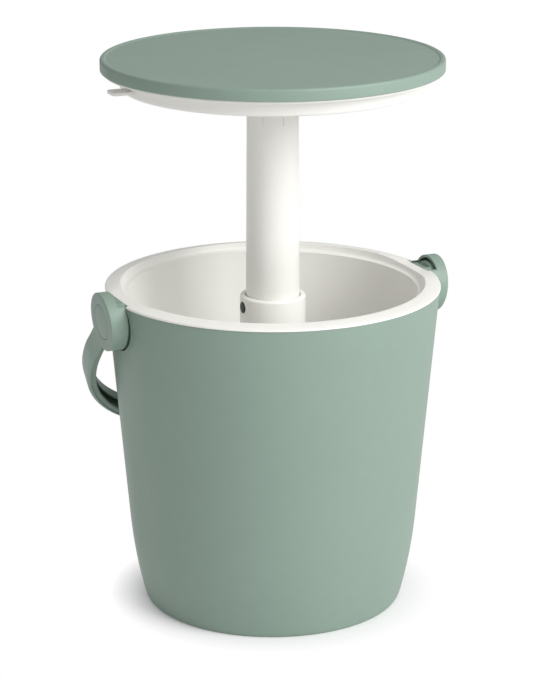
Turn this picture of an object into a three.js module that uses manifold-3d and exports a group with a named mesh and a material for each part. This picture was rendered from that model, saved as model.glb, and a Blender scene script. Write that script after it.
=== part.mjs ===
// Ice bucket coffee table: a double-walled bucket with a swing bail, and a round table
// top on a column that slides up out of the ice space.
//
// Lengths are in millimetres. The origin is the middle of the base, on the floor, and +Z
// is up. The bail turns about a line along X, and +Y is the back, where the bail hangs.
// The table is modelled raised.

import * as THREE from 'three';
import { mergeVertices } from 'three/addons/utils/BufferGeometryUtils.js';
import Module from 'manifold-3d';

const wasm = await Module();
wasm.setup();

const radians = Math.PI / 180;
const quarterTurn = Math.PI / 2;
const fullTurn = Math.PI * 2;

// Fits and cuts
const seatGap = 0.3; // between faces that rest on each other
const slideGap = 0.4; // beside a piece that slides or turns
const overrun = 6; // how far a cut runs on past what it cuts

// Facets
const wideSides = 48; // round pieces as wide as the bucket
const columnSides = 32; // the column and what fits round it
const cupSides = 32; // the bail's cups and their hubs
const smallSides = 10; // screws and washers
const capSides = 24; // the caps of the pivots, their wells and the button
const curveSteps = 3; // along each rounded corner of a profile

// Bucket: its rim sets the width of everything that fits it
const rimRadius = 190;
const shellTop = 369.2; // height of the outer shell, just under the rim

// Bucket: outer shell
const rimOverhang = 0.7; // of the rim past the shell
const shellTaper = 5.24 * radians; // of the straight part of the wall
const shellWall = 3;
const heelTaper = 14 * radians; // just above the base, where the wall draws in
const heelSoftTop = 95; // where the wall starts to draw in
const heelDrawIn = 14.2; // how far the wall draws in from there to the rounded edge at the base
const heelHeight = 7; // of that rounded edge
const heelWidth = 10;
const footWidth = 12;
const basePadRadius = 62; // of the flat middle of the base, level with that ring
const footHollow = 2; // how far the base is raised between the two

// Bucket: liner
const rimLip = 2; // height of the rim's outer edge
const rimRise = 3; // how much higher the rim is at its inner edge
const rimWidth = 18;
const rimEdgeRound = 1.5;
const bandDepth = 17; // height of the upright band that takes the lid
const bandDraft = 1; // how much the band narrows over its height
const shoulderWidth = 8;
const shoulderDrop = 5;
const linerWall = 2.5;
const linerFloor = 32; // height of the floor's upper face
const linerCorner = 18; // where the wall meets the floor
const rimSkirtDepth = 8; // rib under the rim, inside the shell
const rimSkirtWall = 2;

// Bail pivots
const pivotDrop = 19.7; // from the shell's top down to the pivot line
const hubHeight = 19.2; // of the hub, from the floor of the recess round it
const hubGap = 0.7; // between the hub and the cup that turns on it
const recessDepth = 5.1; // from the shell's top edge in to the recess's floor
const recessGap = 1.5; // between the cup and the wall of the recess
const recessLip = 2.2; // width of the raised edge round the recess
const recessLipHeight = 1.1;

// Bail
const bailRestGap = 1.05; // between the crossbar and the bucket while the bail hangs
const bailArm = 54; // straight part of each arm, from the pivot line
const bailArmInset = 5.5; // of the arm's start, from the edge of the cup's flat face
const bailSquareness = 2.07; // exponent of the arch: 2 is an ellipse, more is squarer
const bailHang = 45 * radians; // below level, where it rests against the bucket
const strapWidth = 27.8;
const strapDepth = 10.5;
const strapWeb = 3;
const strapFlange = 2.5;
const strapRound = 3;
const cupRadius = 33;
const cupWall = 3;
const cupFace = 3; // thickness of the cup's flat end
const cupEdgeRound = 3.5;
const cupEndGap = 0.6; // between the hub's end and the inside of the cup's face
const cupMouthGap = 2.8; // between the cup's open edge and the recess's floor
const slotRise = 2.3; // from the tab's seat up to the floor of the cup's tab slot
const slotDepth = 9.5; // how far that slot runs in from the cup's open edge

// Pivot screws, washers and caps
const capRadius = 19.5;
const capThickness = 1.3;
const wellRadius = 8;
const wellDepth = 6;
const wellWall = 2.5;
const wellFloor = 2.2;
const washerRadius = 7;
const washerThickness = 1;
const pivotShankRadius = 2.6;
const pivotShankLength = 16;
const pivotHeadRadius = 5;
const pivotHeadHeight = 2.4;

// Column
const columnTopRadius = 28.8;
const columnTaper = 2.1; // how much wider the column is at its foot
const columnRise = 3.5; // of the column's top above the pan's flat middle
const columnWall = 2.5;
const grooveLength = 54; // of the shallow grooves that run down from the column's top
const grooveWidth = 1.2;
const grooveDepth = 0.8;
const grooveCount = 8;

// Sleeve and collar
const bushWall = 2.1; // room for the bush between the column's foot and the sleeve
const sleeveWall = 2.6;
const sleeveDrop = 37.2; // from the shell's top down to the sleeve's top
const sleeveFlangeWidth = 16.4;
const sleeveFlangeHeight = 4;
const keyWidth = 2.8;
const keyHeight = 1.5;
const collarStep = 1.8; // how far the collar stands out from the sleeve
const collarRise = 25; // of the collar above the sleeve
const collarLap = 16; // how far the collar reaches down over the sleeve
const collarRound = 3;

// Guide bush on the column's foot
const bushLength = 47; // of the bush's wall beside the column
const bushFloor = 5.5;
const bushRim = 6; // width of the bush's floor, inside the column
const bushPlugHeight = 12;
const bushPlugWall = 2.5;

// Release button
const buttonRadius = 6.5;
const buttonDrop = 12.5; // from the collar's top down to the button's axis
const buttonReach = 2.4; // how far it stands out of the collar
const buttonDome = 1.4;
const buttonFlangeWidth = 1.7;
const buttonFlangeThickness = 1.5;
const buttonShoulderWall = 2.2; // of the collar outside the button's flange

// Table top
const topOverhang = 1; // of the top past the bucket's rim
const topHeight = 631.5; // top of the raised edge
const topEdge = 12.7; // height of the side
const topPlate = 3.3;
const topLipWidth = 7;
const topDish = 1.2;
const topWall = 5;
const topFootRound = 1.2;

// Pan under the top
const flangeInset = 3; // of the flange inside the top's edge
const flangeThickness = 2.2;
const skirtGap = 1; // between the skirt and the lid band of the closed bucket
const skirtDraft = 1;
const skirtHeight = 12.5; // upright part, under the flange
const skirtChamferHeight = 5.3;
const skirtChamferWidth = 5;
const skirtWall = 3;
const skirtRingWidth = 15;
const panWebRise = 7.5; // of the flat middle above the skirt's lowest edge
const panWebSlope = 9; // width of the slope up to the middle
const panWall = 2.5;
const socketWall = 3.6;
const socketDrop = 6; // how far the column's socket reaches below the flat middle

// Finger tabs on the pan
const tabOverhang = 2; // of the tab's tip past the bucket's rim
const tabWidth = 25;
const tabThickness = 3;
const tabDrop = 12.5; // from the top's lower edge down to the tab's upper face
const tabRound = 6;
const tabDishDepth = 0.9;
const tabDishMargin = 2.4;

// Stroke of the table: its tabs come down on flats in the rim
const tabSeatSink = 0.3; // of those flats below the rim's outer edge
const tabSeatHalfWidth = 28;

// Screws of the sleeve and the pan
const screwShankRadius = 2;
const screwHeadRadius = 4;
const screwHeadHeight = 2.3;
const screwHeadTaper = 1.2;
const screwLength = 14;
const screwBossWall = 3;
const sleeveScrewCount = 3;
const sleeveScrewInset = 8; // of the ring of screws, from the edge of the sleeve's flange
const panScrewCount = 4;
const panScrewCircle = 95;

// Materials
function plastic(color, roughness) {
  return new THREE.MeshStandardMaterial({ color, roughness, metalness: 0 });
}
const green = plastic(0x8fa698, 0.6);
const offWhite = plastic(0xecebe4, 0.5);
const darkGrey = plastic(0x33363a, 0.45);
const steel = new THREE.MeshStandardMaterial({ color: 0xb8babd, roughness: 0.35, metalness: 1 });

// Solids

// Merges shared points, drops collapsed triangles and turns the faces outward.
function cleaned(geometry) {
  geometry.deleteAttribute('normal');
  geometry.deleteAttribute('uv');
  const merged = mergeVertices(geometry);
  const point = merged.attributes.position;
  const kept = [];
  let sixVolumes = 0;
  for (let i = 0; i < merged.index.count; i += 3) {
    const corner = [0, 1, 2].map((k) => merged.index.getX(i + k));
    if (new Set(corner).size === 3) {
      kept.push(...corner);
      const [a, b, c] = corner.map((k) => new THREE.Vector3().fromBufferAttribute(point, k));
      sixVolumes += a.dot(b.cross(c));
    }
  }
  merged.setIndex(sixVolumes < 0 ? kept.reverse() : kept);
  return merged;
}

function solid(geometry) {
  const clean = cleaned(geometry);
  return new wasm.Manifold(new wasm.Mesh({
    numProp: 3,
    vertProperties: new Float32Array(clean.attributes.position.array),
    triVerts: new Uint32Array(clean.index.array),
  }));
}

function shapeOf(body) {
  const mesh = body.getMesh();
  const geometry = new THREE.BufferGeometry();
  geometry.setAttribute('position', new THREE.BufferAttribute(mesh.vertProperties, 3));
  geometry.setIndex(new THREE.BufferAttribute(mesh.triVerts, 1));
  return geometry;
}

// Turns a profile of radius and height about the Z axis.
function revolved(profile, sides) {
  return new THREE.LatheGeometry(profile.getPoints(curveSteps), sides).rotateX(quarterTurn);
}

// Turns a profile about the pivot line: its heights become distances from the middle of
// the bucket, toward +X.
function revolvedOnPivot(profile, sides) {
  return revolved(profile, sides).rotateY(quarterTurn).translate(0, 0, pivotHeight);
}

function discAlongX(radius, from, to, height, sides) {
  return new THREE.CylinderGeometry(radius, radius, to - from, sides)
    .rotateZ(quarterTurn)
    .translate((from + to) / 2, 0, height);
}

function discAlongZ(radius, from, to, x, y, sides) {
  return new THREE.CylinderGeometry(radius, radius, to - from, sides)
    .rotateX(quarterTurn)
    .translate(x, y, (from + to) / 2);
}

function block(fromX, toX, fromY, toY, fromZ, toZ) {
  return new THREE.BoxGeometry(toX - fromX, toY - fromY, toZ - fromZ)
    .translate((fromX + toX) / 2, (fromY + toY) / 2, (fromZ + toZ) / 2);
}

// Makes the same feature at both ends of the pivot line, as a mirror pair.
function onBothSides(geometryAtPlusX) {
  const right = solid(geometryAtPlusX());
  return right.add(right.mirror([1, 0, 0]));
}

function ring(count, radius, firstAngle, make) {
  return Array.from({ length: count }, (unused, i) => {
    const angle = firstAngle + (i * fullTurn) / count;
    return make(radius * Math.cos(angle), radius * Math.sin(angle), i);
  });
}

// Levels and radii that several pieces share
const shellTopRadius = rimRadius - rimOverhang;
const heelRadius = shellRadiusAt(heelSoftTop) - heelDrawIn;
const footRadius = heelRadius - heelWidth;
const rimOuterTop = shellTop + seatGap + rimLip;
const rimInnerTop = rimOuterTop + rimRise;
const bandTopRadius = rimRadius - rimWidth;
const bandFootRadius = bandTopRadius - bandDraft;
const bandFoot = rimInnerTop - bandDepth;
const linerTopRadius = bandFootRadius - shoulderWidth;
const linerWallTop = bandFoot - shoulderDrop;
const shellFloor = footHollow + shellWall;
const pivotHeight = shellTop - pivotDrop;
const recessFloor = shellTopRadius - recessDepth;
const recessLipFace = recessFloor + recessLipHeight;
const hubFace = recessFloor + hubHeight;
const hubRadius = cupRadius - cupWall - hubGap;
const recessRadius = cupRadius + recessGap;
const bailArmStart = cupRadius - cupEdgeRound - bailArmInset;
const cupInner = hubFace + cupEndGap;
const cupMouth = recessFloor + cupMouthGap;
const bailHalfWidth = cupInner + cupFace;
const columnFootRadius = columnTopRadius + columnTaper;
const sleeveTop = shellTop - sleeveDrop;
const sleeveBore = columnFootRadius + bushWall;
const sleeveOuter = sleeveBore + sleeveWall;
const sleeveFlangeRadius = sleeveOuter + sleeveFlangeWidth;
const sleeveScrewCircle = sleeveFlangeRadius - sleeveScrewInset;
const collarRadius = sleeveOuter + collarStep;
const sleeveFoot = linerFloor + seatGap;
const sleeveFlangeTop = sleeveFoot + sleeveFlangeHeight;
const collarTop = sleeveTop + collarRise;
const collarShoulder = sleeveTop + seatGap;
const collarBore = columnFootRadius + slideGap;
const buttonHeight = collarTop - buttonDrop;
const buttonShoulder = collarRadius - buttonShoulderWall;
const topRadius = rimRadius + topOverhang;
const topFoot = topHeight - topEdge;
const flangeRadius = topRadius - flangeInset;
const flangeTop = topFoot - seatGap;
const flangeFoot = flangeTop - flangeThickness;
const skirtFoot = flangeFoot - skirtHeight - skirtChamferHeight;
const panWebFoot = skirtFoot + panWebRise;
const panWebTop = panWebFoot + panWall;
const skirtRadius = bandTopRadius - skirtGap;
const columnTop = panWebTop + columnRise;
const columnFoot = sleeveTop - bushLength;
const tabReach = rimRadius + tabOverhang;
const tabSeatHeight = rimOuterTop - tabSeatSink;
const slotFloor = tabSeatHeight + slotRise;
const capFoot = bailHalfWidth - capThickness;
const wellBottom = bailHalfWidth - wellDepth;
const pilotRadius = screwShankRadius + seatGap;

function shellRadiusAt(height) {
  return shellTopRadius - (shellTop - height) * Math.tan(shellTaper);
}

function linerRadiusAt(height) {
  return linerTopRadius - (linerWallTop - height) * Math.tan(shellTaper);
}

function columnRadiusAt(height) {
  const share = (height - columnFoot) / (columnTop - columnFoot);
  return columnFootRadius + (columnTopRadius - columnFootRadius) * share;
}

// Outer shell

// The wall is drawn from the base up, or from the top down, at a distance inside its outer
// face. The heel is a curve that leaves both straight stretches along their own slopes.
function heelCurve(inset) {
  const crossing = (heelRadius - shellRadiusAt(heelHeight))
    / (Math.tan(shellTaper) - Math.tan(heelTaper)) + heelHeight;
  return {
    top: new THREE.Vector2(shellRadiusAt(heelSoftTop) - inset, heelSoftTop),
    bend: new THREE.Vector2(shellRadiusAt(crossing) - inset, crossing),
    foot: new THREE.Vector2(heelRadius - inset, heelHeight + inset),
  };
}

function shellProfile() {
  const outer = heelCurve(0);
  const inner = heelCurve(shellWall);
  const cornerRadius = heelRadius - heelHeight * Math.tan(heelTaper);
  const profile = new THREE.Path();
  profile.moveTo(0, 0);
  profile.lineTo(basePadRadius, 0);
  profile.lineTo(basePadRadius, footHollow);
  profile.lineTo(footRadius - footWidth, footHollow);
  profile.lineTo(footRadius - footWidth, 0);
  profile.lineTo(footRadius, 0);
  profile.quadraticCurveTo(cornerRadius, 0, outer.foot.x, outer.foot.y);
  profile.quadraticCurveTo(outer.bend.x, outer.bend.y, outer.top.x, outer.top.y);
  profile.lineTo(shellTopRadius, shellTop);
  profile.lineTo(shellTopRadius - shellWall, shellTop);
  profile.lineTo(inner.top.x, inner.top.y);
  profile.quadraticCurveTo(inner.bend.x, inner.bend.y, inner.foot.x, inner.foot.y);
  profile.lineTo(footRadius, shellFloor);
  profile.lineTo(0, shellFloor);
  return profile;
}

// A round hub with its washer well and screw hole. The pocket in its top lets the finger
// tab of the closed table in.
function makeHub() {
  const bore = wellBottom - wellFloor - slideGap;
  const pilotEnd = bore - pivotShankLength;
  return solid(discAlongX(hubRadius, recessFloor - shellWall, hubFace, pivotHeight, cupSides))
    .subtract(solid(discAlongX(
      wellRadius + wellWall + slideGap, bore, hubFace + overrun, pivotHeight, cupSides,
    )))
    .subtract(solid(discAlongX(pivotShankRadius + seatGap, pilotEnd, hubFace, pivotHeight, smallSides)))
    .subtract(solid(block(
      recessFloor - overrun, tabReach + 2 * slideGap,
      -tabWidth / 2 - 2 * slideGap, tabWidth / 2 + 2 * slideGap,
      tabSeatHeight - seatGap, pivotHeight + hubRadius + overrun,
    )));
}

function makeShell() {
  const wall = solid(revolved(shellProfile(), wideSides));
  const padBack = recessFloor - shellWall;
  const padRadius = recessRadius + recessLip;
  const pads = onBothSides(() => discAlongX(padRadius, padBack, recessLipFace, pivotHeight, cupSides));
  const recesses = onBothSides(() => discAlongX(
    recessRadius, recessFloor, rimRadius + overrun, pivotHeight, cupSides,
  ));
  const aboveTop = solid(block(
    -rimRadius, rimRadius, -rimRadius, rimRadius, shellTop, pivotHeight + padRadius + overrun,
  ));
  const hub = makeHub();
  const hubFoot = solid(block(
    0, recessFloor, -rimRadius, rimRadius, shellTop, pivotHeight + hubRadius + overrun,
  ));
  const hubs = hub.subtract(hubFoot);
  return wall.add(pads).subtract(recesses).subtract(aboveTop)
    .add(hubs).add(hubs.mirror([1, 0, 0]))
    .subtract(onBothSides(() => discAlongX(
      pivotShankRadius + seatGap,
      wellBottom - wellFloor - slideGap - pivotShankLength, hubFace, pivotHeight, smallSides,
    )));
}

// Inner liner

function linerProfile() {
  const slope = Math.tan(shellTaper);
  const floorEdge = linerRadiusAt(linerFloor + linerCorner);
  const outerFloorEdge = floorEdge + linerWall;
  const profile = new THREE.Path();
  profile.moveTo(0, linerFloor);
  profile.lineTo(floorEdge - linerCorner, linerFloor);
  profile.quadraticCurveTo(
    floorEdge - linerCorner * slope, linerFloor, floorEdge, linerFloor + linerCorner,
  );
  profile.lineTo(linerTopRadius, linerWallTop);
  profile.quadraticCurveTo(bandFootRadius, linerWallTop, bandFootRadius, bandFoot);
  profile.lineTo(bandTopRadius, rimInnerTop - rimEdgeRound);
  profile.lineTo(bandTopRadius + rimEdgeRound, rimInnerTop);
  profile.lineTo(rimRadius, rimOuterTop);
  profile.lineTo(rimRadius, rimOuterTop - rimLip);
  profile.lineTo(bandTopRadius + linerWall, rimOuterTop - rimLip);
  profile.lineTo(bandFootRadius + linerWall, bandFoot - linerWall);
  profile.lineTo(linerTopRadius + linerWall, linerWallTop - linerWall);
  profile.lineTo(outerFloorEdge, linerFloor + linerCorner);
  profile.quadraticCurveTo(
    outerFloorEdge, linerFloor - linerWall, floorEdge - linerCorner, linerFloor - linerWall,
  );
  profile.lineTo(0, linerFloor - linerWall);
  return profile;
}

function rimSkirtProfile() {
  const outer = shellTopRadius - shellWall - 2 * slideGap;
  const level = rimOuterTop - rimLip;
  const profile = new THREE.Path();
  profile.moveTo(outer - rimSkirtWall, level + rimLip / 2);
  profile.lineTo(outer, level + rimLip / 2);
  profile.lineTo(outer - rimSkirtDepth * Math.tan(shellTaper), level - rimSkirtDepth);
  profile.lineTo(outer - rimSkirtWall - rimSkirtDepth * Math.tan(shellTaper), level - rimSkirtDepth);
  profile.closePath();
  return profile;
}

function makeLiner() {
  const level = rimOuterTop - rimLip;
  const padBack = recessFloor - shellWall - slideGap;
  const padHalfWidth = recessRadius + recessLip + slideGap;
  const rimSkirt = solid(revolved(rimSkirtProfile(), wideSides)).subtract(onBothSides(() => block(
    padBack, rimRadius + overrun, -padHalfWidth, padHalfWidth, level - rimSkirtDepth - overrun, level,
  )));
  const cups = onBothSides(() => discAlongX(
    recessRadius, recessFloor - seatGap, rimRadius + overrun, pivotHeight, cupSides,
  ));
  const tabSeats = onBothSides(() => block(
    bandTopRadius - overrun, rimRadius + overrun, -tabSeatHalfWidth, tabSeatHalfWidth,
    tabSeatHeight, rimInnerTop + overrun,
  ));
  const bossFoot = shellFloor + seatGap;
  const bosses = ring(sleeveScrewCount, sleeveScrewCircle, quarterTurn, (x, y) => solid(discAlongZ(
    pilotRadius + screwBossWall, bossFoot, linerFloor - linerWall / 2, x, y, smallSides,
  )));
  const pilots = ring(sleeveScrewCount, sleeveScrewCircle, quarterTurn, (x, y) => solid(discAlongZ(
    pilotRadius, sleeveFlangeTop - screwLength - seatGap, linerFloor + overrun, x, y, smallSides,
  )));
  let liner = solid(revolved(linerProfile(), wideSides)).add(rimSkirt);
  bosses.forEach((boss) => { liner = liner.add(boss); });
  pilots.forEach((pilot) => { liner = liner.subtract(pilot); });
  return liner.subtract(cups).subtract(tabSeats);
}

// Column sleeve, with two key ribs that stop the column from turning

function sleeveProfile() {
  const profile = new THREE.Path();
  profile.moveTo(sleeveBore, sleeveFoot);
  profile.lineTo(sleeveFlangeRadius, sleeveFoot);
  profile.lineTo(sleeveFlangeRadius, sleeveFlangeTop);
  profile.lineTo(sleeveOuter + sleeveWall, sleeveFlangeTop);
  profile.quadraticCurveTo(sleeveOuter, sleeveFlangeTop, sleeveOuter, sleeveFlangeTop + 2 * sleeveWall);
  profile.lineTo(sleeveOuter, sleeveTop);
  profile.lineTo(sleeveBore, sleeveTop);
  profile.closePath();
  return profile;
}

function makeSleeve() {
  let sleeve = solid(revolved(sleeveProfile(), columnSides));
  [1, -1].forEach((side) => {
    const inner = side * (sleeveBore - keyHeight);
    const outer = side * (sleeveBore + sleeveWall / 2);
    sleeve = sleeve.add(solid(block(
      -keyWidth / 2, keyWidth / 2, Math.min(inner, outer), Math.max(inner, outer),
      sleeveFlangeTop, sleeveTop - seatGap,
    )));
  });
  ring(sleeveScrewCount, sleeveScrewCircle, quarterTurn, (x, y) => {
    sleeve = sleeve.subtract(solid(discAlongZ(
      pilotRadius, sleeveFoot - overrun, sleeveFlangeTop + overrun, x, y, smallSides,
    )));
  });
  return sleeve;
}

// Lock collar

function collarProfile() {
  const skirtBore = sleeveOuter + seatGap;
  const skirtFootHeight = sleeveTop - collarLap;
  const profile = new THREE.Path();
  profile.moveTo(skirtBore, skirtFootHeight);
  profile.lineTo(collarRadius, skirtFootHeight);
  profile.lineTo(collarRadius, collarTop - collarRound);
  profile.quadraticCurveTo(collarRadius, collarTop, collarRadius - collarRound, collarTop);
  profile.lineTo(collarBore, collarTop);
  profile.lineTo(collarBore, collarShoulder);
  profile.lineTo(skirtBore, collarShoulder);
  profile.closePath();
  return profile;
}

function makeCollar() {
  return solid(revolved(collarProfile(), columnSides))
    .subtract(solid(discAlongX(
      buttonRadius + slideGap, -collarRadius - overrun, -collarBore, buttonHeight, capSides,
    )))
    .subtract(solid(discAlongX(
      buttonRadius + buttonFlangeWidth + slideGap, -buttonShoulder, -sleeveBore / 2, buttonHeight, capSides,
    )));
}

// Release button: a domed head and the flange that the collar's shoulder holds back

function makeButton() {
  const flangeOuter = buttonShoulder - seatGap;
  const flangeInner = flangeOuter - buttonFlangeThickness;
  const tip = collarRadius + buttonReach;
  const profile = new THREE.Path();
  profile.moveTo(0, flangeInner);
  profile.lineTo(buttonRadius + buttonFlangeWidth, flangeInner);
  profile.lineTo(buttonRadius + buttonFlangeWidth, flangeOuter);
  profile.lineTo(buttonRadius, flangeOuter);
  profile.lineTo(buttonRadius, tip - buttonDome);
  profile.quadraticCurveTo(buttonRadius - buttonDome, tip, 0, tip);
  return solid(revolved(profile, capSides).rotateY(-quarterTurn).translate(0, 0, buttonHeight));
}

// Column and its guide bush

function makeColumn() {
  const profile = new THREE.Path();
  profile.moveTo(columnFootRadius - columnWall, columnFoot);
  profile.lineTo(columnFootRadius, columnFoot);
  profile.lineTo(columnTopRadius, columnTop);
  profile.lineTo(columnTopRadius - columnWall, columnTop);
  profile.closePath();
  let column = solid(revolved(profile, columnSides));
  const grooveFoot = columnTop - grooveLength;
  const grooveFloor = columnRadiusAt(grooveFoot) - grooveDepth;
  for (let i = 0; i < grooveCount; i += 1) {
    const groove = block(
      -grooveWidth / 2, grooveWidth / 2, grooveFloor, columnFootRadius + overrun,
      grooveFoot, columnTop + overrun,
    ).rotateZ((i * fullTurn) / grooveCount);
    column = column.subtract(solid(groove));
  }
  return column;
}

// The bush wraps the column's foot and plugs it. Its top end stops under the collar when
// the table is raised.
function bushProfile() {
  const outer = sleeveBore - slideGap;
  const inner = columnFootRadius + seatGap;
  const floorTop = columnFoot - seatGap;
  const plugOuter = columnFootRadius - columnWall - 2 * seatGap;
  const profile = new THREE.Path();
  profile.moveTo(outer - 2 * bushRim + seatGap, floorTop - bushFloor);
  profile.lineTo(outer, floorTop - bushFloor);
  profile.lineTo(outer, collarShoulder - slideGap);
  profile.lineTo(inner, collarShoulder - slideGap);
  profile.lineTo(inner, floorTop);
  profile.lineTo(plugOuter, floorTop);
  profile.lineTo(plugOuter, floorTop + bushPlugHeight);
  profile.lineTo(plugOuter - bushPlugWall, floorTop + bushPlugHeight);
  profile.lineTo(plugOuter - bushPlugWall, floorTop);
  profile.lineTo(outer - 2 * bushRim + seatGap, floorTop);
  profile.closePath();
  return profile;
}

function makeBush() {
  let bush = solid(revolved(bushProfile(), columnSides));
  const slotHalfWidth = keyWidth / 2 + slideGap;
  const slotFoot = columnFoot - bushFloor - overrun;
  [0, Math.PI].forEach((turn) => {
    const slot = block(
      -slotHalfWidth, slotHalfWidth, sleeveBore - keyHeight - slideGap, sleeveBore + overrun,
      slotFoot, collarShoulder + overrun,
    ).rotateZ(turn);
    bush = bush.subtract(solid(slot));
  });
  return bush;
}

// Pan under the table top

function panProfile() {
  const socketInner = columnTopRadius + seatGap;
  const socketOuter = socketInner + socketWall;
  const ringOuter = skirtRadius - skirtDraft - skirtChamferWidth;
  const ringInner = ringOuter - skirtRingWidth;
  const webEdge = ringInner - panWebSlope;
  const chamferTop = skirtFoot + skirtChamferHeight;
  const lidHeight = columnTop + seatGap;
  const profile = new THREE.Path();
  profile.moveTo(0, lidHeight);
  profile.lineTo(socketInner, lidHeight);
  profile.lineTo(socketInner, panWebFoot - socketDrop);
  profile.lineTo(socketOuter, panWebFoot - socketDrop);
  profile.lineTo(socketOuter, panWebFoot);
  profile.lineTo(webEdge, panWebFoot);
  profile.lineTo(ringInner, skirtFoot);
  profile.lineTo(ringOuter, skirtFoot);
  profile.quadraticCurveTo(skirtRadius - skirtDraft, skirtFoot, skirtRadius - skirtDraft, chamferTop);
  profile.lineTo(skirtRadius, flangeFoot);
  profile.lineTo(flangeRadius, flangeFoot);
  profile.lineTo(flangeRadius, flangeTop);
  profile.lineTo(skirtRadius - skirtWall, flangeTop);
  profile.lineTo(ringOuter - skirtWall / 2, skirtFoot + skirtWall);
  profile.lineTo(ringInner + skirtWall / 2, skirtFoot + skirtWall);
  profile.lineTo(webEdge + skirtWall / 2, panWebTop);
  profile.lineTo(socketOuter, panWebTop);
  profile.lineTo(socketOuter, lidHeight + panWall);
  profile.lineTo(0, lidHeight + panWall);
  return profile;
}

// A finger tab: a rounded tongue that stands out of the skirt, with a dished upper face
function tongue(inner, outer, halfWidth, round, depth) {
  const outline = new THREE.Shape();
  outline.moveTo(inner, -halfWidth);
  outline.lineTo(outer - round, -halfWidth);
  outline.quadraticCurveTo(outer, -halfWidth, outer, -halfWidth + round);
  outline.lineTo(outer, halfWidth - round);
  outline.quadraticCurveTo(outer, halfWidth, outer - round, halfWidth);
  outline.lineTo(inner, halfWidth);
  outline.closePath();
  return new THREE.ExtrudeGeometry(outline, { depth, bevelEnabled: false, curveSegments: curveSteps });
}

function makeTab() {
  const upper = topFoot - tabDrop;
  const rootRadius = skirtRadius - skirtWall / 2;
  const plate = solid(tongue(rootRadius, tabReach, tabWidth / 2, tabRound, tabThickness)
    .translate(0, 0, upper - tabThickness));
  const dish = solid(tongue(
    skirtRadius, tabReach - tabDishMargin, tabWidth / 2 - tabDishMargin, tabRound - tabDishMargin, overrun,
  ).translate(0, 0, upper - tabDishDepth));
  return plate.subtract(dish);
}

function makePan() {
  const tab = makeTab();
  let pan = solid(revolved(panProfile(), wideSides)).add(tab).add(tab.rotate([0, 0, 180]));
  ring(panScrewCount, panScrewCircle, Math.PI / panScrewCount, (x, y) => {
    pan = pan.subtract(solid(discAlongZ(
      pilotRadius, panWebFoot - overrun, panWebTop + overrun, x, y, smallSides,
    )));
  });
  return pan;
}

// Table top

function topProfile() {
  const plateFoot = topHeight - topDish - topPlate;
  const wallInner = topRadius - topWall;
  const profile = new THREE.Path();
  profile.moveTo(0, plateFoot);
  profile.lineTo(wallInner, plateFoot);
  profile.lineTo(wallInner, topFoot);
  profile.lineTo(topRadius - topFootRound, topFoot);
  profile.lineTo(topRadius, topFoot + topFootRound);
  profile.lineTo(topRadius, topHeight - topLipWidth / 2);
  profile.quadraticCurveTo(topRadius, topHeight, topRadius - topLipWidth / 2, topHeight);
  profile.quadraticCurveTo(
    topRadius - topLipWidth, topHeight, topRadius - topLipWidth, topHeight - topDish,
  );
  profile.lineTo(0, topHeight - topDish);
  return profile;
}

function makeTop() {
  let top = solid(revolved(topProfile(), wideSides));
  const bossFoot = panWebTop + seatGap;
  const bossTop = topHeight - topDish - topPlate / 2;
  ring(panScrewCount, panScrewCircle, Math.PI / panScrewCount, (x, y) => {
    top = top.add(solid(discAlongZ(
      pilotRadius + screwBossWall, bossFoot, bossTop, x, y, smallSides,
    )));
    top = top.subtract(solid(discAlongZ(
      pilotRadius, bossFoot - overrun, panWebFoot + screwLength + seatGap, x, y, smallSides,
    )));
  });
  return top;
}

// Bail

// How far the bail reaches from the pivot line, so that its crossbar hangs just clear of
// the tapered shell
function bailReachAtRest() {
  const lean = Math.tan(shellTaper);
  const halfStrap = strapWidth / 2;
  const shellThere = shellRadiusAt(pivotHeight - halfStrap * Math.cos(bailHang));
  const inside = (shellThere + bailRestGap + halfStrap * Math.sin(bailHang))
    / (Math.cos(bailHang) + Math.sin(bailHang) * lean);
  return inside + strapDepth;
}
const bailReach = bailReachAtRest();

// The outside of the bow between the two straight arms, hanging straight down from the
// pivot line at the origin
class BowCurve extends THREE.Curve {
  getPoint(t, target = new THREE.Vector3()) {
    const angle = t * Math.PI;
    const across = Math.abs(Math.cos(angle)) ** (2 / bailSquareness) * Math.sign(Math.cos(angle));
    const down = Math.abs(Math.sin(angle)) ** (2 / bailSquareness);
    return target.set(-bailHalfWidth * across, 0, -bailArm - (bailReach - bailArm) * down);
  }
}

// The bow with its two arms, from one cup to the other
function bailLine() {
  const line = new THREE.CurvePath();
  const corner = (side, down) => new THREE.Vector3(side * bailHalfWidth, 0, -down);
  line.add(new THREE.LineCurve3(corner(-1, bailArmStart), corner(-1, bailArm)));
  line.add(new BowCurve());
  line.add(new THREE.LineCurve3(corner(1, bailArm), corner(1, bailArmStart)));
  return line;
}

// The strap's section: a channel whose back is the outside of the arch
function channelSection() {
  const half = strapWidth / 2;
  const section = new THREE.Shape();
  section.moveTo(-half, -strapDepth);
  section.lineTo(-half, -strapRound);
  section.quadraticCurveTo(-half, 0, -half + strapRound, 0);
  section.lineTo(half - strapRound, 0);
  section.quadraticCurveTo(half, 0, half, -strapRound);
  section.lineTo(half, -strapDepth);
  section.lineTo(half - strapFlange, -strapDepth);
  section.lineTo(half - strapFlange, -strapWeb);
  section.lineTo(-half + strapFlange, -strapWeb);
  section.lineTo(-half + strapFlange, -strapDepth);
  section.closePath();
  return section;
}

const archSteps = 40;

function makeStrap() {
  return solid(new THREE.ExtrudeGeometry(channelSection(), {
    steps: archSteps,
    extrudePath: bailLine(),
    curveSegments: 2,
  }).rotateX(quarterTurn - bailHang).translate(0, 0, pivotHeight));
}

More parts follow.
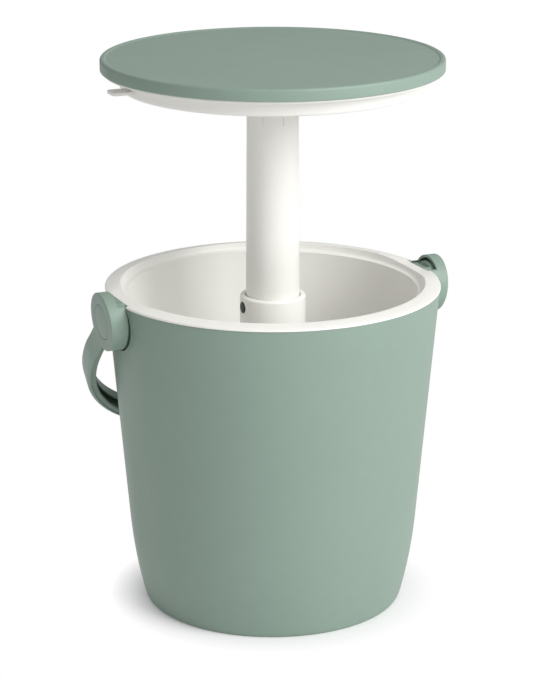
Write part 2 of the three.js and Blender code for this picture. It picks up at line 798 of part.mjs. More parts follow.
// A cup: a round face with a rounded edge, a wall round the hub, and a well for the screw
function cupProfile() {
  const profile = new THREE.Path();
  profile.moveTo(0, wellBottom - wellFloor);
  profile.lineTo(wellRadius + wellWall, wellBottom - wellFloor);
  profile.lineTo(wellRadius + wellWall, cupInner);
  profile.lineTo(cupRadius - cupWall, cupInner);
  profile.lineTo(cupRadius - cupWall, cupMouth);
  profile.lineTo(cupRadius, cupMouth);
  profile.lineTo(cupRadius, bailHalfWidth - cupEdgeRound);
  profile.lineTo(cupRadius - cupEdgeRound, bailHalfWidth);
  profile.lineTo(0, bailHalfWidth);
  return profile;
}

function makeCups() {
  return onBothSides(() => shapeOf(solid(revolvedOnPivot(cupProfile(), cupSides))
    .subtract(solid(discAlongX(
      capRadius + seatGap, capFoot - seatGap, bailHalfWidth + overrun, pivotHeight, capSides,
    )))
    .subtract(solid(discAlongX(
      wellRadius, wellBottom, bailHalfWidth + overrun, pivotHeight, capSides,
    )))
    .subtract(solid(discAlongX(
      pivotShankRadius + slideGap, wellBottom - wellFloor - overrun, bailHalfWidth, pivotHeight, smallSides,
    )))
    .subtract(solid(block(
      cupMouth - overrun, cupMouth + slotDepth, -cupRadius, cupRadius,
      slotFloor, pivotHeight + cupRadius + overrun,
    )))));
}

function makeBail() {
  const insideCups = onBothSides(() => discAlongX(
    cupRadius - cupWall / 2, cupMouth - overrun, cupInner + cupFace / 2, pivotHeight, cupSides,
  ));
  return makeStrap().subtract(insideCups).add(makeCups());
}

// Screws and washers: the head is on top of the origin and the shank points down

function screw(shankRadius, length, headRadius, headHeight, headTaper) {
  const profile = new THREE.Path();
  profile.moveTo(0, -length);
  profile.lineTo(shankRadius, -length);
  profile.lineTo(shankRadius, 0);
  profile.lineTo(headRadius, 0);
  profile.lineTo(headRadius, headHeight - headTaper);
  profile.lineTo(headRadius - headTaper, headHeight);
  profile.lineTo(0, headHeight);
  return revolved(profile, smallSides);
}

function smallScrew() {
  return screw(screwShankRadius, screwLength, screwHeadRadius, screwHeadHeight, screwHeadTaper);
}

function pivotScrew() {
  return screw(pivotShankRadius, pivotShankLength, pivotHeadRadius, pivotHeadHeight, screwHeadTaper);
}

function washer() {
  const hole = pivotShankRadius + seatGap;
  const profile = new THREE.Path();
  profile.moveTo(hole, 0);
  profile.lineTo(washerRadius, 0);
  profile.lineTo(washerRadius, washerThickness);
  profile.lineTo(hole, washerThickness);
  profile.closePath();
  return revolved(profile, smallSides);
}

// Assembly

const iceBucketTable = new THREE.Group();

function place(group, name, geometry, material) {
  const mesh = new THREE.Mesh(cleaned(geometry), material);
  mesh.name = name;
  group.add(mesh);
  return mesh;
}

const bucket = new THREE.Group();
place(bucket, 'outer_shell', shapeOf(makeShell()), green);
place(bucket, 'inner_liner', shapeOf(makeLiner()), offWhite);
place(bucket, 'column_sleeve', shapeOf(makeSleeve()), offWhite);
place(bucket, 'lock_collar', shapeOf(makeCollar()), offWhite);
ring(sleeveScrewCount, sleeveScrewCircle, quarterTurn, (x, y, i) => {
  place(bucket, `sleeve_screw_${i + 1}`, smallScrew(), steel)
    .position.set(x, y, sleeveFlangeTop + seatGap);
});

[['left', -1], ['right', 1]].forEach(([side, sign]) => {
  const pivot = new THREE.Group();
  pivot.position.set(0, 0, pivotHeight);
  pivot.rotation.y = sign * quarterTurn;
  const washerSeat = wellBottom + seatGap;
  const headSeat = washerSeat + washerThickness + seatGap;
  place(pivot, `pivot_washer_${side}`, washer(), steel).position.z = washerSeat;
  place(pivot, `pivot_screw_${side}`, pivotScrew(), steel).position.z = headSeat;
  bucket.add(pivot);
});

const table = new THREE.Group();
place(table, 'slide_tube', shapeOf(makeColumn()), offWhite);
place(table, 'guide_bush', shapeOf(makeBush()), offWhite);
place(table, 'underside_pan', shapeOf(makePan()), offWhite);
place(table, 'table_top', shapeOf(makeTop()), green);
ring(panScrewCount, panScrewCircle, Math.PI / panScrewCount, (x, y, i) => {
  const panScrew = place(table, `pan_screw_${i + 1}`, smallScrew(), steel);
  panScrew.position.set(x, y, panWebFoot - seatGap);
  panScrew.rotation.x = Math.PI;
});

const handle = new THREE.Group();
place(handle, 'handle_bail', shapeOf(makeBail()), green);
place(handle, 'pivot_cap_right', discAlongX(
  capRadius, capFoot, bailHalfWidth, pivotHeight, capSides,
), green);
place(handle, 'pivot_cap_left', discAlongX(
  capRadius, -bailHalfWidth, -capFoot, pivotHeight, capSides,
), green);

const button = new THREE.Group();
place(button, 'release_button', shapeOf(makeButton()), darkGrey);

iceBucketTable.add(bucket, table, handle, button);

export default iceBucketTable;
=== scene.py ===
import math

import bmesh
import bpy
from mathutils import Matrix, Vector


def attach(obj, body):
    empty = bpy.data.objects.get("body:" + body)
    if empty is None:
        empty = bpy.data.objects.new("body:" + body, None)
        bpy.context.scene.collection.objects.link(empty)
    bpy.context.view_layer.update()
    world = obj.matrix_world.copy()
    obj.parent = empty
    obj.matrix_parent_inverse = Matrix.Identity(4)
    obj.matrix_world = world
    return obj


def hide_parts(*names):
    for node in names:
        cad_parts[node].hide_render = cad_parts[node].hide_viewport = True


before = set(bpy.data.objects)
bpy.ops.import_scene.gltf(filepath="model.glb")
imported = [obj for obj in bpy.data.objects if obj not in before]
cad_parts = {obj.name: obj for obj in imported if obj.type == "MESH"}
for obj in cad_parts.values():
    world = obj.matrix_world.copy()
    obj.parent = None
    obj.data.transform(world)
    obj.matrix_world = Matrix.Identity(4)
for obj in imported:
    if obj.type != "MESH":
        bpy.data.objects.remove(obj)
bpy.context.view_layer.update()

# Lengths are in millimetres until a vertex is made.
METRE = 0.001
FULL_TURN = 2 * math.pi
ON_AXIS = 0.001
MERGE_DISTANCE = METRE / 1000

# Fineness of the smooth pieces
WIDE_SIDES = 192
COLUMN_SIDES = 96
SMALL_SIDES = 72
BEND_STEPS = 8
FILLET_STEPS = 5
WALL_STEPS = 6
ARM_STEPS = 6
BOW_STEPS = 60
SHARP_ANGLE = math.radians(32)

# Rounds on small edges, from fine to broad
FINE_ROUND = 0.4
SMALL_ROUND = 0.6
LIP_ROUND = 0.7
EDGE_ROUND = 0.8
SOFT_ROUND = 1
BROAD_ROUND = 1.2

# How far a cutting tool stands past what it cuts
SLIGHT_OVERCUT = 1
OVERCUT = 5
FAR_OVERCUT = 100
# A small turn, so that no corner of a tool falls on a corner of what it cuts
OFF_STEP = Matrix.Rotation(math.radians(0.4), 4, "Z")

# Outer shell
RIM_RADIUS = 190
SHELL_TOP = 369.2
SHELL_TOP_RADIUS = 189.3
SHELL_WALL = 3
SHELL_FLOOR = 5
HEEL_TOP = 95
HEEL_TOP_RADIUS = 165.2
HEEL_BEND_HEIGHT = 45
HEEL_BEND_RADIUS = 160.4
HEEL_HEIGHT = 6.5
HEEL_RADIUS = 149.6
HEEL_ROUND_HEIGHT = 0.4
HEEL_ROUND_RADIUS = 147.9
FOOT_OUTER = 145.2
FOOT_INNER = 127.95
FOOT_HOLLOW = 2
BASE_PAD_RADIUS = 62

# Pivot line of the bail, and the recesses and hubs round it
PIVOT_HEIGHT = 349.5
RECESS_FLOOR = 184.2
RECESS_RADIUS = 34.5
RECESS_LIP_RADIUS = 36.9
RECESS_LIP_HEIGHT = 1.2
RECESS_BACK = 179.4
GROOVE_FLOOR = 181
GROOVE_INNER = 25.7
HUB_RADIUS = 26.2
HUB_END = 200.4
HUB_BORE_RADIUS = 10.9
HUB_BORE_FLOOR = 198.4
TAB_POCKET_HALF_WIDTH = 13.3
TAB_POCKET_FLOOR = 370.9
TAB_POCKET_END = 192.8

# Liner
LINER_INNER_EDGE = 173.5
LINER_LIP_TOP = 374.5
LINER_LIP_BEND_RADIUS = 172.1
LINER_OUTER_TOP = 371.5
LINER_OUTER_FOOT = 369.5
BAND_TOP = 373
BAND_TOP_RADIUS = 172
BAND_FOOT = 368
BAND_FOOT_RADIUS = 171
SHOULDER_BEND_HEIGHT = 365.5
SHOULDER_BEND_RADIUS = 170
SHOULDER_FOOT = 365
SHOULDER_RADIUS = 164.3
LINER_FLOOR = 32
LINER_FLOOR_RADIUS = 130
LINER_CORNER = 18
LINER_WALL = 2.5
TAB_SEAT = 371.2
TAB_SEAT_HALF_WIDTH = 16
TAB_SEAT_SLOPE = 45
TAB_SEAT_ROUND = 100
CUP_CLEARANCE_START = 183.9

# Column sleeve and lock collar
SLEEVE_FLANGE_RADIUS = 52
SLEEVE_FLANGE_FOOT = 32.3
SLEEVE_FLANGE_TOP = 36.3
SLEEVE_RADIUS = 35.6
SLEEVE_BORE = 33
SLEEVE_TOP = 332
SLEEVE_FOOT_ROUND = 6
COLLAR_RADIUS = 37.4
COLLAR_FOOT = 316
COLLAR_TOP = 359.2
COLLAR_ROUND = 3
COLLAR_BORE = 31.3
COLLAR_STEP_HEIGHT = 332.3
COLLAR_SKIRT_BORE = 35.9

# Release button
BUTTON_HEIGHT = 346.7
BUTTON_RADIUS = 6.5
BUTTON_HOLE_RADIUS = 6.9
BUTTON_POCKET_RADIUS = 8.6
BUTTON_POCKET_END = 35.2
BUTTON_FLANGE_RADIUS = 8.2
BUTTON_FLANGE_INNER = 33.4
BUTTON_FLANGE_OUTER = 34.9
BUTTON_END = 38.7
BUTTON_DOME = 1.4
BUTTON_CROWN_RADIUS = BUTTON_RADIUS / 3
BUTTON_EDGE = 0.4
BUTTON_EDGE_WIDTH = 2.2
BUTTON_EDGE_DROP = 0.25

# Column
COLUMN_FOOT = 285
COLUMN_TOP = 612
COLUMN_FOOT_RADIUS = 30.9
COLUMN_TOP_RADIUS = 28.8
COLUMN_WALL = 2.5
FLUTE_START = 558
FLUTE_RUN_IN = 1
FLUTE_WIDTH = 1.2
FLUTE_DEPTH = 0.8
FLUTE_COUNT = 8
# The bevel at each side of a flute is half its width over this
FLUTE_BEVEL_PARTS = 3

# Pan under the top
PAN_FLANGE_RADIUS = 188
PAN_FLANGE_FOOT = 615.2
PAN_FLANGE_TOP = 617.4
PAN_SKIRT_TOP_RADIUS = 171
PAN_SKIRT_FOOT_RADIUS = 170
PAN_SKIRT_FOOT = 602.7
PAN_CHAMFER_FOOT = 597.4
PAN_CHAMFER_RADIUS = 165
PAN_RING_RADIUS = 150
PAN_RING_ROUND = 3
PAN_WEB_RADIUS = 141
PAN_WEB_FOOT = 606
PAN_WALL = 2.5
PAN_SKIRT_WALL = 3
SOCKET_OUTER = 32.7
SOCKET_INNER = 29.1
SOCKET_FOOT = 600
SOCKET_ROOT_ROUND = 1.5
SOCKET_LID_FOOT = 612.3
SOCKET_LID_TOP = 614.8
TAB_INNER = 169.5
TAB_TIP = 192
TAB_HALF_WIDTH = 12.5
TAB_FOOT = 603.3
TAB_TOP = 606.3
TAB_ROUND = 6
TAB_DISH_INNER = 173.5
TAB_DISH_DEPTH = 0.9
TAB_DISH_MARGIN = 2.4

# Table top
TOP_RADIUS = 191
TOP_FOOT = 617.7
TOP_HEIGHT = 631.5
TOP_LIP_FOOT = 628
TOP_LIP_MIDDLE = 187.5
TOP_LIP_BEND = 185.2
TOP_LIP_INNER = 184
TOP_DISH = 630.3
TOP_PLATE_FOOT = 627
TOP_WALL_INNER = 186

# Strap of the bail
BAIL_REACH = 207
BAIL_ARM_START = 24
BAIL_ARM_END = 54
BAIL_CROSSBAR = 267.1
BAIL_SQUARENESS = 2.07
BAIL_HANG = math.radians(45)
STRAP_WIDTH = 27.8
STRAP_DEPTH = 10.5
STRAP_WEB = 3
STRAP_FLANGE = 2.5
STRAP_ROUND = 4
STRAP_STEP = 0.8
STRAP_STEP_DEPTH = 4.6
STRAP_STEP_ROUND = 0.3
STRAP_LIP = 11.5

# Cups of the bail and their caps
CUP_RADIUS = 33
CUP_WALL = 3
CUP_FACE_INNER = 204
CUP_MOUTH = 187
CUP_EDGE_ROUND = 1.3
CUP_CORNER_ROUND = 2
CUP_ROOM_DEPTH = 30
CUP_ROOM_OVERCUT = 0.5
CUP_SLOT_END = 196.5
CUP_SLOT_FLOOR = 371.1
CUP_SLOT_FILLET = 1
WELL_BOSS_RADIUS = 10.5
WELL_BOSS_END = 198.8
WELL_RADIUS = 8
WELL_FLOOR = 201
WELL_HOLE_RADIUS = 3
CAP_SEAT_RADIUS = 19.8
CAP_SEAT = 205.4
CAP_RADIUS = 19.5
CAP_INNER = 205.7

# Lean of the cups' faces, which follows the bucket's wall
WALL_LEAN = math.tan(math.radians(5.24))
LEAN_START = 201.2
LEAN_END_RADIUS = 64

# Materials: sizes of the patterns, and how far they go
NOISE_LOW = 0.3
NOISE_HIGH = 0.7
PLAIN_DETAIL = 3
RICH_DETAIL = 4
DRIFT_SIZE = 180
MOTTLE_SIZE = 14
MOTTLE_SHARE = (0.25, 0.6)
FLOW_SIZE = 60
FLOW_STRETCH = (1, 1, 0.25)
GLOSS_DRIFT = 0.05
WAVE_DEPTH = 0.1
PLASTIC_IOR = 1.49
SCRATCH_SIZE = 0.5
SCRATCH_STRETCH = (1, 1, 6)
SCRATCH_DEPTH = 0.01
SCRATCH_ROUGHNESS = (0.24, 0.42)
STEEL_PATCH_SIZE = 4
STEEL_DARK = 0xa9abad
STEEL_PALE = 0xc4c5c7

# Floor and light: distances in metres, the grain of the floor in millimetres
FLOOR_HALF_SIZE = 6
FLOOR_SEGMENTS = 8
FLOOR_GRAIN_SIZE = 40
FLOOR_DARK = (0.9, 0.9, 0.9, 1)
FLOOR_PALE = (0.92, 0.92, 0.92, 1)
FLOOR_ROUGHNESS = 0.9
FADE_START = 0.145
FADE_END = 0.19
FADE_LOW = 0.1
WHITE = (1, 1, 1, 1)
AMBIENT = 0.5
KEY_PLACE = (1.13, -2.19, 2.03)
KEY_AIM = (0, 0, 0.33)
KEY_POWER = 80
KEY_SIZE = 1.8

# Camera, with its place in metres
CAMERA_PLACE = (-1.1160, -2.5383, 1.13945)
CAMERA_HEADING = (0.40330, 0.91507)
CAMERA_PITCH = 0.2925355
CAMERA_LENS = 134.57
CAMERA_SENSOR = 36


class Outline:
    """A closed outline of straight lines, bends and rounded corners, drawn point by point."""

    def __init__(self):
        self.marks = []

    def to(self, x, y, rounding=0.0):
        self.marks.append((Vector((x, y)), rounding))
        return self

    def bend(self, control_x, control_y, x, y, steps=BEND_STEPS):
        start = self.marks[-1][0]
        control = Vector((control_x, control_y))
        end = Vector((x, y))
        for step in range(1, steps + 1):
            t = step / steps
            point = start * (1 - t) ** 2 + control * (2 * t * (1 - t)) + end * t ** 2
            self.marks.append((point, 0.0))
        return self

    def points(self):
        found = []
        count = len(self.marks)
        for index, (corner, rounding) in enumerate(self.marks):
            if rounding == 0:
                found.append(corner.copy())
                continue
            before = (self.marks[index - 1][0] - corner).normalized()
            after = (self.marks[(index + 1) % count][0] - corner).normalized()
            half_angle = before.angle(after) / 2
            reach = rounding / math.tan(half_angle)
            centre = corner + (before + after).normalized() * (rounding / math.sin(half_angle))
            start = corner + before * reach - centre
            turn = start.angle_signed(corner + after * reach - centre)
            for step in range(FILLET_STEPS + 1):
                angle = -turn * step / FILLET_STEPS
                spun = Vector((
                    start.x * math.cos(angle) - start.y * math.sin(angle),
                    start.x * math.sin(angle) + start.y * math.cos(angle),
                ))
                found.append(centre + spun)
        return found


def new_object(name, data):
    piece = bpy.data.objects.new(name, data)
    bpy.context.scene.collection.objects.link(piece)
    return piece


def finished(name, builder):
    """Makes an object of what a bmesh holds, with its faces turned outward."""
    bmesh.ops.remove_doubles(builder, verts=builder.verts, dist=MERGE_DISTANCE)
    bmesh.ops.recalc_face_normals(builder, faces=builder.faces)
    mesh_data = bpy.data.meshes.new(name)
    builder.to_mesh(mesh_data)
    builder.free()
    return new_object(name, mesh_data)


def joined_rings(builder, ring, following):
    """Makes a band of faces between two closed rings, either of which may be a single point."""
    sides = max(len(ring), len(following))
    for side in range(sides):
        corners = []
        for vertex in (
            ring[side % len(ring)],
            ring[(side + 1) % len(ring)],
            following[(side + 1) % len(following)],
            following[side % len(following)],
        ):
            if vertex not in corners:
                corners.append(vertex)
        if len(corners) > 2:
            builder.faces.new(corners)


def revolved(name, outline, sides=WIDE_SIDES, place=None):
    """Turns an outline of radius and height round the Z axis."""
    builder = bmesh.new()
    rings = []
    for radius, height in outline.points():
        if radius < ON_AXIS:
            rings.append([builder.verts.new((0, 0, height * METRE))])
            continue
        ring = []
        for side in range(sides):
            angle = FULL_TURN * side / sides
            spot = Vector((radius * math.cos(angle), radius * math.sin(angle), height))
            ring.append(builder.verts.new(spot * METRE))
        rings.append(ring)
    for index, ring in enumerate(rings):
        joined_rings(builder, ring, rings[(index + 1) % len(rings)])
    if place:
        bmesh.ops.transform(builder, matrix=place, verts=builder.verts)
    return finished(name, builder)


def sideways(side, height):
    """Lays a piece turned round Z along X at a height, outward to the right (1) or left (-1)."""
    turn = Matrix.Rotation(side * math.pi / 2, 4, "Y")
    return Matrix.Translation((0, 0, height * METRE)) @ turn


def on_pivot(side):
    return sideways(side, PIVOT_HEIGHT)


def block(name, low, high):
    builder = bmesh.new()
    bmesh.ops.create_cube(builder, size=1)
    for vertex in builder.verts:
        for axis in range(3):
            vertex.co[axis] = (high[axis] if vertex.co[axis] > 0 else low[axis]) * METRE
    return finished(name, builder)


def prism(name, axis, outline, low, high):
    """Draws an outline out along an axis.

    Its points are in the other two axes, in the order X, Y, Z.
    """
    builder = bmesh.new()
    rings = []
    for along in (low, high):
        ring = []
        for point in outline.points():
            spot = list(point)
            spot.insert("XYZ".index(axis), along)
            ring.append(builder.verts.new(Vector(spot) * METRE))
        rings.append(ring)
        builder.faces.new(ring)
    joined_rings(builder, *rings)
    return finished(name, builder)


def disc(name, radius, low, high, side, sides):
    """A solid disc along the pivot line, from low to high outward on one side."""
    outline = Outline().to(0, low).to(radius, low).to(radius, high).to(0, high)
    return revolved(name, outline, sides, on_pivot(side) @ OFF_STEP)


def combined(piece, tools, operation):
    """Adds tools to a piece, cuts them out or keeps what is shared, and uses the tools up."""
    for tool in tools:
        change = piece.modifiers.new(operation, "BOOLEAN")
        change.operation = operation
        change.solver = "EXACT"
        change.object = tool
        bpy.context.view_layer.update()
        graph = bpy.context.evaluated_depsgraph_get()
        made = bpy.data.meshes.new_from_object(piece.evaluated_get(graph))
        piece.modifiers.clear()
        old = piece.data
        piece.data = made
        made.name = piece.name
        bpy.data.meshes.remove(old)
        tool_data = tool.data
        bpy.data.objects.remove(tool)
        bpy.data.meshes.remove(tool_data)
    return piece


def leaned(piece):
    """Leans the face end of a bail piece as far as the bucket's wall leans."""
    for vertex in piece.data.vertices:
        spot = vertex.co / METRE
        height = spot.z - PIVOT_HEIGHT
        reach = math.hypot(spot.y, height)
        outward = (abs(spot.x) - LEAN_START) / (CUP_FACE_INNER - LEAN_START)
        outward = min(max(outward, 0), 1)
        near = min(max((LEAN_END_RADIUS - reach) / (LEAN_END_RADIUS - CUP_RADIUS), 0), 1)
        vertex.co.x += math.copysign(1, spot.x) * WALL_LEAN * height * outward * near * METRE
    return piece


def made_outer_shell():
    """The outer bucket, with a bead round the recess at each side."""
    rise = (SHELL_TOP_RADIUS - HEEL_TOP_RADIUS) / (SHELL_TOP - HEEL_TOP)
    outline = Outline()
    outline.to(0, 0).to(BASE_PAD_RADIUS, 0, EDGE_ROUND).to(BASE_PAD_RADIUS, FOOT_HOLLOW)
    outline.to(FOOT_INNER, FOOT_HOLLOW).to(FOOT_INNER, 0, EDGE_ROUND).to(FOOT_OUTER, 0)
    outline.bend(HEEL_ROUND_RADIUS, HEEL_ROUND_HEIGHT, HEEL_RADIUS, HEEL_HEIGHT)
    outline.bend(HEEL_BEND_RADIUS, HEEL_BEND_HEIGHT, HEEL_TOP_RADIUS, HEEL_TOP, 2 * BEND_STEPS)
    for step in range(1, WALL_STEPS):
        height = HEEL_TOP + (SHELL_TOP - HEEL_TOP) * step / WALL_STEPS
        outline.to(HEEL_TOP_RADIUS + rise * (height - HEEL_TOP), height)
    outline.to(SHELL_TOP_RADIUS, SHELL_TOP, EDGE_ROUND)
    outline.to(SHELL_TOP_RADIUS - SHELL_WALL, SHELL_TOP)
    outline.to(HEEL_TOP_RADIUS - SHELL_WALL, HEEL_TOP)
    outline.bend(HEEL_BEND_RADIUS - SHELL_WALL, HEEL_BEND_HEIGHT,
                 HEEL_RADIUS - SHELL_WALL, SHELL_FLOOR)
    outline.to(0, SHELL_FLOOR)
    shell = revolved("bucket_shell", outline)
    for side in (1, -1):
        lip = disc("lip", RECESS_LIP_RADIUS, RECESS_BACK, BAIL_REACH, side, WIDE_SIDES)
        lip_top = SHELL_TOP - EDGE_ROUND
        foot_radius = HEEL_TOP_RADIUS + RECESS_LIP_HEIGHT
        top_radius = foot_radius + rise * (lip_top - HEEL_TOP)
        cone = Outline().to(0, HEEL_TOP).to(foot_radius, HEEL_TOP)
        cone.to(top_radius, lip_top).to(0, lip_top)
        combined(lip, [revolved("envelope", cone, place=OFF_STEP)], "INTERSECT")
        combined(shell, [lip], "UNION")
        hollow = Outline().to(0, RECESS_FLOOR).to(GROOVE_INNER, RECESS_FLOOR)
        hollow.to(GROOVE_INNER, GROOVE_FLOOR).to(RECESS_RADIUS, GROOVE_FLOOR)
        hollow.to(RECESS_RADIUS, BAIL_REACH).to(0, BAIL_REACH)
        recess = revolved("recess", hollow, place=on_pivot(side) @ OFF_STEP)
        combined(shell, [recess], "DIFFERENCE")
    return shell


def made_hub(side, side_name):
    """A pivot hub with the bore for its screw and a pocket for the closed table's tab."""
    hub_foot = (GROOVE_FLOOR + RECESS_BACK) / 2
    outline = Outline()
    outline.to(0, hub_foot).to(HUB_RADIUS, hub_foot).to(HUB_RADIUS, HUB_END, EDGE_ROUND)
    outline.to(HUB_BORE_RADIUS, HUB_END, EDGE_ROUND).to(HUB_BORE_RADIUS, HUB_BORE_FLOOR)
    outline.to(0, HUB_BORE_FLOOR)
    hub = revolved("bucket_hub_" + side_name, outline, COLUMN_SIDES, on_pivot(side))
    ends = sorted((side * RECESS_BACK, side * TAB_POCKET_END))
    pocket = block("pocket", (ends[0], -TAB_POCKET_HALF_WIDTH, TAB_POCKET_FLOOR),
                   (ends[1], TAB_POCKET_HALF_WIDTH, TAB_POCKET_FLOOR + FAR_OVERCUT))
    ends = sorted((side * (RECESS_BACK - SLIGHT_OVERCUT), side * RECESS_FLOOR))
    above_shell = block("above_shell", (ends[0], -FAR_OVERCUT, SHELL_TOP),
                        (ends[1], FAR_OVERCUT, SHELL_TOP + FAR_OVERCUT))
    return combined(hub, [pocket, above_shell], "DIFFERENCE")


def made_liner():
    """The liner, cut away round the cups and down to a flat seat under each tab."""
    outline = Outline()
    outline.to(0, LINER_FLOOR)
    outline.to(LINER_FLOOR_RADIUS, LINER_FLOOR, LINER_CORNER)
    outline.to(SHOULDER_RADIUS, SHOULDER_FOOT)
    outline.bend(SHOULDER_BEND_RADIUS, SHOULDER_BEND_HEIGHT, BAND_FOOT_RADIUS, BAND_FOOT)
    outline.to(BAND_TOP_RADIUS, BAND_TOP)
    outline.bend(LINER_LIP_BEND_RADIUS, LINER_LIP_TOP, LINER_INNER_EDGE, LINER_LIP_TOP)
    outline.to(RIM_RADIUS, LINER_OUTER_TOP, BROAD_ROUND)
    outline.to(RIM_RADIUS, LINER_OUTER_FOOT)
    outline.to(BAND_FOOT_RADIUS + LINER_WALL, LINER_OUTER_FOOT)
    outline.to(BAND_FOOT_RADIUS + LINER_WALL, BAND_FOOT - LINER_WALL)
    outline.to(SHOULDER_RADIUS + LINER_WALL, SHOULDER_FOOT - LINER_WALL)
    outline.to(LINER_FLOOR_RADIUS + LINER_WALL, LINER_FLOOR - LINER_WALL, LINER_CORNER)
    outline.to(0, LINER_FLOOR - LINER_WALL)
    liner = revolved("bucket_liner", outline)
    seat_top = LINER_LIP_TOP + OVERCUT
    slope = TAB_SEAT_SLOPE * (seat_top - TAB_SEAT) / (LINER_LIP_TOP - TAB_SEAT)
    half_top = TAB_SEAT_HALF_WIDTH + slope
    flat = Outline().to(-half_top, seat_top).to(-TAB_SEAT_HALF_WIDTH, TAB_SEAT, TAB_SEAT_ROUND)
    flat.to(TAB_SEAT_HALF_WIDTH, TAB_SEAT, TAB_SEAT_ROUND).to(half_top, seat_top)
    for side in (1, -1):
        clearance = disc("clearance", RECESS_RADIUS, CUP_CLEARANCE_START, BAIL_REACH,
                         side, WIDE_SIDES)
        ends = sorted((side * LINER_FLOOR_RADIUS, side * BAIL_REACH))
        combined(liner, [clearance, prism("seat", "X", flat, *ends)], "DIFFERENCE")
    return liner


def made_sleeve():
    outline = Outline()
    outline.to(SLEEVE_BORE, SLEEVE_FLANGE_FOOT).to(SLEEVE_FLANGE_RADIUS, SLEEVE_FLANGE_FOOT)
    outline.to(SLEEVE_FLANGE_RADIUS, SLEEVE_FLANGE_TOP, BROAD_ROUND)
    outline.to(SLEEVE_RADIUS, SLEEVE_FLANGE_TOP, SLEEVE_FOOT_ROUND)
    outline.to(SLEEVE_RADIUS, SLEEVE_TOP, EDGE_ROUND).to(SLEEVE_BORE, SLEEVE_TOP, EDGE_ROUND)
    return revolved("sleeve_tube", outline, COLUMN_SIDES)


def made_collar():
    """The lock collar, with the stepped hole that holds the button."""
    outline = Outline()
    outline.to(COLLAR_SKIRT_BORE, COLLAR_FOOT).to(COLLAR_RADIUS, COLLAR_FOOT, SMALL_ROUND)
    outline.to(COLLAR_RADIUS, COLLAR_TOP, COLLAR_ROUND).to(COLLAR_BORE, COLLAR_TOP, SOFT_ROUND)
    outline.to(COLLAR_BORE, COLLAR_STEP_HEIGHT).to(COLLAR_SKIRT_BORE, COLLAR_STEP_HEIGHT)
    collar = revolved("sleeve_collar", outline, COLUMN_SIDES)
    start = COLLAR_BORE - OVERCUT
    end = COLLAR_RADIUS + OVERCUT
    stepped = Outline().to(0, start).to(BUTTON_POCKET_RADIUS, start)
    stepped.to(BUTTON_POCKET_RADIUS, BUTTON_POCKET_END).to(BUTTON_HOLE_RADIUS, BUTTON_POCKET_END)
    stepped.to(BUTTON_HOLE_RADIUS, end).to(0, end)
    hole = revolved("hole", stepped, SMALL_SIDES, sideways(-1, BUTTON_HEIGHT))
    return combined(collar, [hole], "DIFFERENCE")


def made_button():
    """The domed button, with the flange that keeps it in the collar."""
    outline = Outline()
    outline.to(0, BUTTON_FLANGE_INNER).to(BUTTON_FLANGE_RADIUS, BUTTON_FLANGE_INNER)
    outline.to(BUTTON_FLANGE_RADIUS, BUTTON_FLANGE_OUTER).to(BUTTON_RADIUS, BUTTON_FLANGE_OUTER)
    outline.to(BUTTON_RADIUS, BUTTON_END - BUTTON_DOME)
    outline.bend(BUTTON_RADIUS - BUTTON_EDGE, BUTTON_END - BUTTON_EDGE,
                 BUTTON_RADIUS - BUTTON_EDGE_WIDTH, BUTTON_END - BUTTON_EDGE_DROP)
    outline.bend(BUTTON_CROWN_RADIUS, BUTTON_END, 0, BUTTON_END)
    return revolved("collar_button", outline, SMALL_SIDES, sideways(-1, BUTTON_HEIGHT))


def made_column():
    """A tapered tube whose upper end has shallow upright flutes."""
    angles = []
    pitch = FULL_TURN / FLUTE_COUNT
    half_flute = FLUTE_WIDTH / 2 / COLUMN_TOP_RADIUS
    bevel = half_flute / FLUTE_BEVEL_PARTS
    steps = COLUMN_SIDES // FLUTE_COUNT
    for flute in range(FLUTE_COUNT):
        centre = math.pi / 2 + flute * pitch
        angles.append((centre - half_flute, 0))
        angles.append((centre - half_flute + bevel, 1))
        angles.append((centre + half_flute - bevel, 1))
        angles.append((centre + half_flute, 0))
        for step in range(1, steps):
            angles.append((centre + half_flute + (pitch - 2 * half_flute) * step / steps, 0))
    plain_end = FLUTE_START - FLUTE_RUN_IN
    levels = [(COLUMN_FOOT, 0), (plain_end, 0), (FLUTE_START + FLUTE_RUN_IN, 1), (COLUMN_TOP, 1)]
    for step in range(1, WALL_STEPS):
        levels.append((COLUMN_FOOT + (plain_end - COLUMN_FOOT) * step / WALL_STEPS, 0))
    levels.sort()
    narrowing = (COLUMN_FOOT_RADIUS - COLUMN_TOP_RADIUS) / (COLUMN_TOP - COLUMN_FOOT)
    builder = bmesh.new()

    def new_ring(height, depth, inset):
        ring = []
        for angle, fluted in angles:
            radius = COLUMN_FOOT_RADIUS - narrowing * (height - COLUMN_FOOT) - inset
            radius -= depth * fluted
            spot = Vector((radius * math.cos(angle), radius * math.sin(angle), height))
            ring.append(builder.verts.new(spot * METRE))
        return ring

    rings = [new_ring(height, FLUTE_DEPTH * fluted, 0) for height, fluted in levels]
    rings.append(new_ring(COLUMN_TOP, 0, COLUMN_WALL))
    rings.append(new_ring(COLUMN_FOOT, 0, COLUMN_WALL))
    for index, ring in enumerate(rings):
        joined_rings(builder, ring, rings[(index + 1) % len(rings)])
    return finished("table_column", builder)


